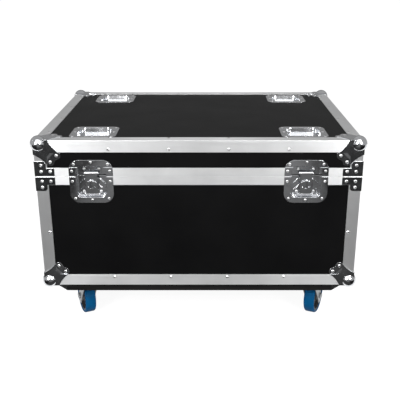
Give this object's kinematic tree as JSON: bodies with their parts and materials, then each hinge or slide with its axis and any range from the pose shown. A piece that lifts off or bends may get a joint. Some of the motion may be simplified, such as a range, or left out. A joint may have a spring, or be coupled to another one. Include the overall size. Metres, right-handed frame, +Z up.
{
  "type": "road case",
  "caption": "Black laminated plywood road case with aluminium edges, ball corners, recessed butterfly latches, hinged lid with stacking dishes, end handles and blue swivel castors.",
  "frame": {"origin": "on the floor under the middle of the case", "axes": "+X to the right along the case, -Y to the front, +Z up"},
  "size_m": [0.819, 0.619, 0.5455],
  "materials": {
    "black_laminate": "fine textured phenolic laminate on plywood",
    "aluminium_rail": "satin mill finish extrusion",
    "chromed_steel": "polished bright plating",
    "rivet_steel": "bright plated rivets",
    "zinc_steel": "bright zinc plating",
    "black_board": "black painted plywood",
    "grey_foam": "closed cell foam lining",
    "blue_tyre": "blue elastic rubber",
    "black_rim": "moulded nylon",
    "black_grip": "moulded sleeve"
  },
  "bodies": {
    "base": {"base_front_panel": "black_laminate", "base_back_panel": "black_laminate", "base_end_panels": "black_laminate", "base_floor_panel": "black_laminate", "base_bottom_rails": "aluminium_rail", "base_corner_rails": "aluminium_rail", "base_tongue_rails": "aluminium_rail", "base_ball_corners": "chromed_steel", "base_corner_braces": "chromed_steel", "base_rivets": "rivet_steel", "base_foam_lining": "grey_foam", "castor_board": "black_board", "castor_top_plates": "zinc_steel", "castor_ball_races": "zinc_steel", "castor_bolts": "zinc_steel", "latch_lower_dishes": "chromed_steel", "latch_hinge_brackets": "chromed_steel", "handle_dishes": "chromed_steel", "handle_springs": "zinc_steel", "hinge_lower_leaves": "chromed_steel"},
    "lid": {"lid_top_panel": "black_laminate", "lid_front_panel": "black_laminate", "lid_back_panel": "black_laminate", "lid_end_panels": "black_laminate", "lid_edge_rails": "aluminium_rail", "lid_groove_rails": "aluminium_rail", "lid_ball_corners": "chromed_steel", "lid_corner_braces": "chromed_steel", "lid_rivets": "rivet_steel", "lid_foam_lining": "grey_foam", "stacking_dishes": "chromed_steel", "latch_upper_dishes": "chromed_steel", "latch_strikes": "chromed_steel", "hinge_upper_leaves": "chromed_steel"},
    "latch_left_swing_plate": {"latch_left_swing_plate": "chromed_steel"},
    "latch_left_claw": {"latch_left_claw": "chromed_steel"},
    "latch_left_spindle": {"latch_left_spindle": "chromed_steel"},
    "latch_left_wing_left": {"latch_left_wing_left": "chromed_steel"},
    "latch_left_wing_right": {"latch_left_wing_right": "chromed_steel"},
    "latch_right_swing_plate": {"latch_right_swing_plate": "chromed_steel"},
    "latch_right_claw": {"latch_right_claw": "chromed_steel"},
    "latch_right_spindle": {"latch_right_spindle": "chromed_steel"},
    "latch_right_wing_left": {"latch_right_wing_left": "chromed_steel"},
    "latch_right_wing_right": {"latch_right_wing_right": "chromed_steel"},
    "handle_left": {"handle_left_bail": "zinc_steel", "handle_left_grip": "black_grip"},
    "handle_right": {"handle_right_bail": "zinc_steel", "handle_right_grip": "black_grip"},
    "castor_front_left_swivel": {"castor_front_left_fork": "zinc_steel"},
    "castor_front_left_wheel": {"castor_front_left_rim": "black_rim", "castor_front_left_tyre": "blue_tyre"},
    "castor_front_right_swivel": {"castor_front_right_fork": "zinc_steel"},
    "castor_front_right_wheel": {"castor_front_right_rim": "black_rim", "castor_front_right_tyre": "blue_tyre"},
    "castor_rear_left_swivel": {"castor_rear_left_fork": "zinc_steel"},
    "castor_rear_left_wheel": {"castor_rear_left_rim": "black_rim", "castor_rear_left_tyre": "blue_tyre"},
    "castor_rear_right_swivel": {"castor_rear_right_fork": "zinc_steel"},
    "castor_rear_right_wheel": {"castor_rear_right_rim": "black_rim", "castor_rear_right_tyre": "blue_tyre"}
  },
  "joints": [
    {"name": "lid_hinge", "type": "hinge", "parent": "base", "child": "lid", "pos_m": [0, 0.3042, 0.445], "axis": [-1, 0, 0], "range_deg": [0, 100]},
    {"name": "latch_left_swing", "type": "hinge", "parent": "base", "child": "latch_left_swing_plate", "pos_m": [-0.264, -0.2907, 0.3964], "axis": [1, 0, 0], "range_deg": [-3, 87]},
    {"name": "latch_left_turn", "type": "hinge", "parent": "latch_left_swing_plate", "child": "latch_left_spindle", "pos_m": [-0.264, -0.30142, 0.42328], "axis": [0, -0.9986, -0.0523], "range_deg": [0, 180]},
    {"name": "latch_left_claw_slide", "type": "slide", "parent": "latch_left_swing_plate", "child": "latch_left_claw", "axis": [0, -0.0523, 0.9986], "range_m": [0, 0.006]},
    {"name": "latch_left_wing_left_fold", "type": "hinge", "parent": "latch_left_spindle", "child": "latch_left_wing_left", "pos_m": [-0.2662, -0.30052, 0.42332], "axis": [0, -0.0523, 0.9986], "range_deg": [0, 90]},
    {"name": "latch_left_wing_right_fold", "type": "hinge", "parent": "latch_left_spindle", "child": "latch_left_wing_right", "pos_m": [-0.2618, -0.30052, 0.42332], "axis": [0, 0.0523, -0.9986], "range_deg": [0, 90]},
    {"name": "latch_right_swing", "type": "hinge", "parent": "base", "child": "latch_right_swing_plate", "pos_m": [0.264, -0.2907, 0.3964], "axis": [1, 0, 0], "range_deg": [-3, 87]},
    {"name": "latch_right_turn", "type": "hinge", "parent": "latch_right_swing_plate", "child": "latch_right_spindle", "pos_m": [0.264, -0.30142, 0.42328], "axis": [0, -0.9986, -0.0523], "range_deg": [0, 180]},
    {"name": "latch_right_claw_slide", "type": "slide", "parent": "latch_right_swing_plate", "child": "latch_right_claw", "axis": [0, -0.0523, 0.9986], "range_m": [0, 0.006]},
    {"name": "latch_right_wing_left_fold", "type": "hinge", "parent": "latch_right_spindle", "child": "latch_right_wing_left", "pos_m": [0.2618, -0.30052, 0.42332], "axis": [0, -0.0523, 0.9986], "range_deg": [0, 90]},
    {"name": "latch_right_wing_right_fold", "type": "hinge", "parent": "latch_right_spindle", "child": "latch_right_wing_right", "pos_m": [0.2662, -0.30052, 0.42332], "axis": [0, 0.0523, -0.9986], "range_deg": [0, 90]},
    {"name": "handle_left_swing", "type": "hinge", "parent": "base", "child": "handle_left", "pos_m": [-0.3905, 0, 0.33], "axis": [0, 1, 0], "range_deg": [0, 95], "stiffness_Nm_per_rad": 0.2},
    {"name": "handle_right_swing", "type": "hinge", "parent": "base", "child": "handle_right", "pos_m": [0.3905, 0, 0.33], "axis": [0, -1, 0], "range_deg": [0, 95], "stiffness_Nm_per_rad": 0.2},
    {"name": "castor_front_left_turn", "type": "hinge", "parent": "base", "child": "castor_front_left_swivel", "pos_m": [-0.307, -0.202, 0.12], "axis": [0, 0, 1], "continuous": true},
    {"name": "castor_front_left_roll", "type": "hinge", "parent": "castor_front_left_swivel", "child": "castor_front_left_wheel", "pos_m": [-0.32205, -0.1682, 0.05], "axis": [0.9135, 0.4067, 0], "continuous": true},
    {"name": "castor_front_right_turn", "type": "hinge", "parent": "base", "child": "castor_front_right_swivel", "pos_m": [0.307, -0.202, 0.12], "axis": [0, 0, 1], "continuous": true},
    {"name": "castor_front_right_roll", "type": "hinge", "parent": "castor_front_right_swivel", "child": "castor_front_right_wheel", "pos_m": [0.32205, -0.1682, 0.05], "axis": [0.9135, -0.4067, 0], "continuous": true},
    {"name": "castor_rear_left_turn", "type": "hinge", "parent": "base", "child": "castor_rear_left_swivel", "pos_m": [-0.307, 0.202, 0.12], "axis": [0, 0, 1], "continuous": true},
    {"name": "castor_rear_left_roll", "type": "hinge", "parent": "castor_rear_left_swivel", "child": "castor_rear_left_wheel", "pos_m": [-0.32205, 0.2358, 0.05], "axis": [0.9135, 0.4067, 0], "continuous": true},
    {"name": "castor_rear_right_turn", "type": "hinge", "parent": "base", "child": "castor_rear_right_swivel", "pos_m": [0.307, 0.202, 0.12], "axis": [0, 0, 1], "continuous": true},
    {"name": "castor_rear_right_roll", "type": "hinge", "parent": "castor_rear_right_swivel", "child": "castor_rear_right_wheel", "pos_m": [0.32205, 0.2358, 0.05], "axis": [0.9135, -0.4067, 0], "continuous": true}
  ],
  "couplings": [
    {"joint": "latch_left_turn", "follows": "latch_left_claw_slide", "rad_per_m": 523.6},
    {"joint": "latch_right_turn", "follows": "latch_right_claw_slide", "rad_per_m": 523.6}
  ]
}
